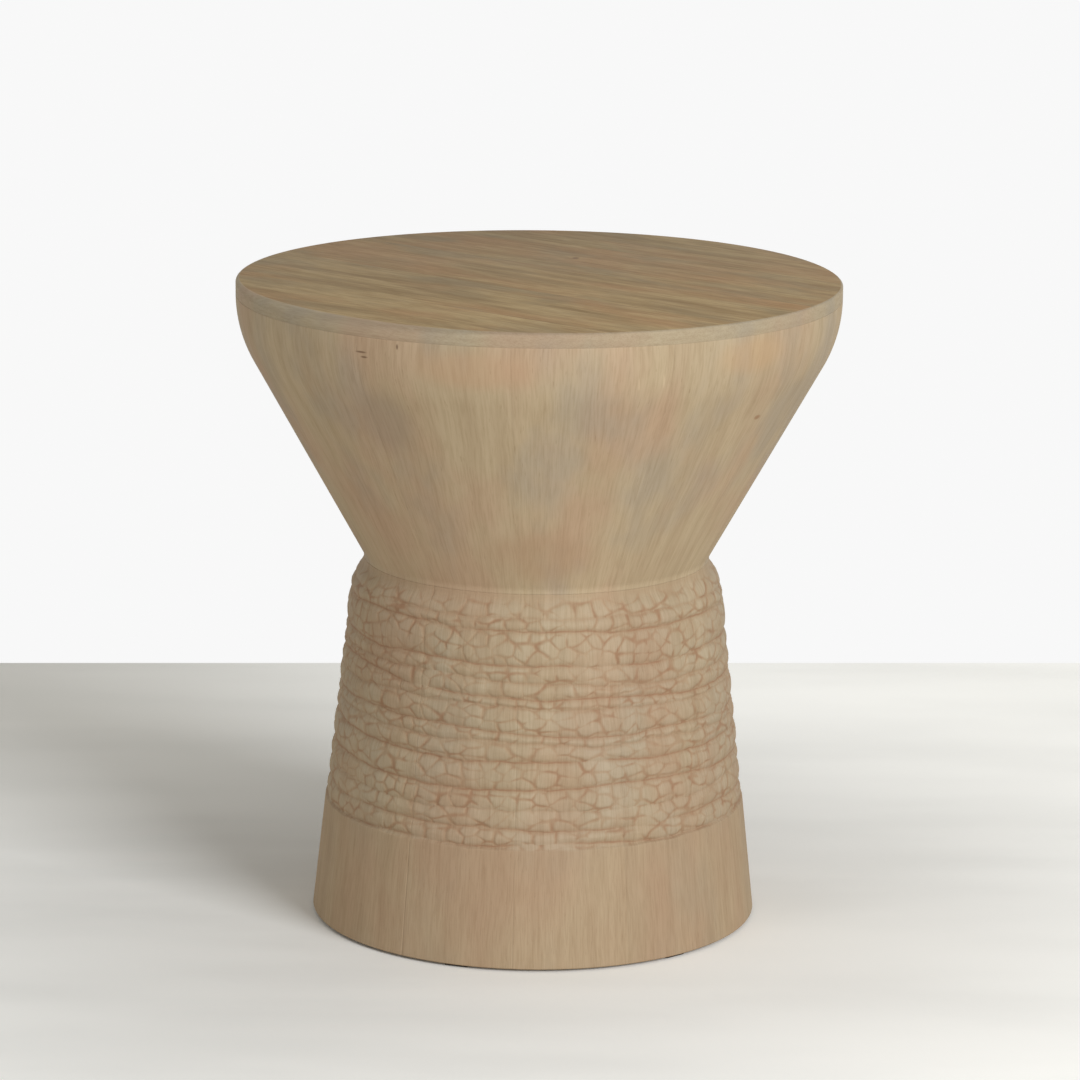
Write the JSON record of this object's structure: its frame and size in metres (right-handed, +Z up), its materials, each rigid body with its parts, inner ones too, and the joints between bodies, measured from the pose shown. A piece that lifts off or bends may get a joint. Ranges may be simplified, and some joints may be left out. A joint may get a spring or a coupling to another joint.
{
  "type": "pedestal side table",
  "caption": "Round hardwood pedestal side table with a flared coopered upper body, a narrow waist, a tapered base with a carved grooved band, and a boarded top.",
  "frame": {"origin": "on the floor, under the centre of the top and of the foot", "axes": "+Z up along the turning axis, -Y towards the viewer of the picture, +X to the viewer's right"},
  "size_m": [0.508, 0.508, 0.547],
  "materials": {
    "top_wood": "dry weathered hardwood boards, sanded flat, unvarnished",
    "flare_wood": "dry weathered hardwood, turned and sanded, unvarnished",
    "carved_wood": "hardwood with a chiselled band, stained brown in the grooves and sanded on the crests",
    "joint_wood": "plain sawn jointing stock",
    "plywood": "unfinished plywood",
    "felt": "dark pressed felt"
  },
  "bodies": {
    "root": {"top_board_1": "top_wood", "top_board_2": "top_wood", "top_board_3": "top_wood", "top_board_4": "top_wood", "top_board_5": "top_wood", "upper_stave_01": "flare_wood", "upper_stave_02": "flare_wood", "upper_stave_03": "flare_wood", "upper_stave_04": "flare_wood", "upper_stave_05": "flare_wood", "upper_stave_06": "flare_wood", "upper_stave_07": "flare_wood", "upper_stave_08": "flare_wood", "upper_stave_09": "flare_wood", "upper_stave_10": "flare_wood", "upper_stave_11": "flare_wood", "upper_stave_12": "flare_wood", "lower_stave_01": "carved_wood", "lower_stave_02": "carved_wood", "lower_stave_03": "carved_wood", "lower_stave_04": "carved_wood", "lower_stave_05": "carved_wood", "lower_stave_06": "carved_wood", "lower_stave_07": "carved_wood", "lower_stave_08": "carved_wood", "lower_stave_09": "carved_wood", "lower_stave_10": "carved_wood", "lower_stave_11": "carved_wood", "lower_stave_12": "carved_wood", "top_tongues": "joint_wood", "upper_tongues": "joint_wood", "waist_tenons": "joint_wood", "lower_tongues": "joint_wood", "waist_disc": "plywood", "base_disc": "plywood", "felt_pads": "felt"}
  },
  "joints": []
}
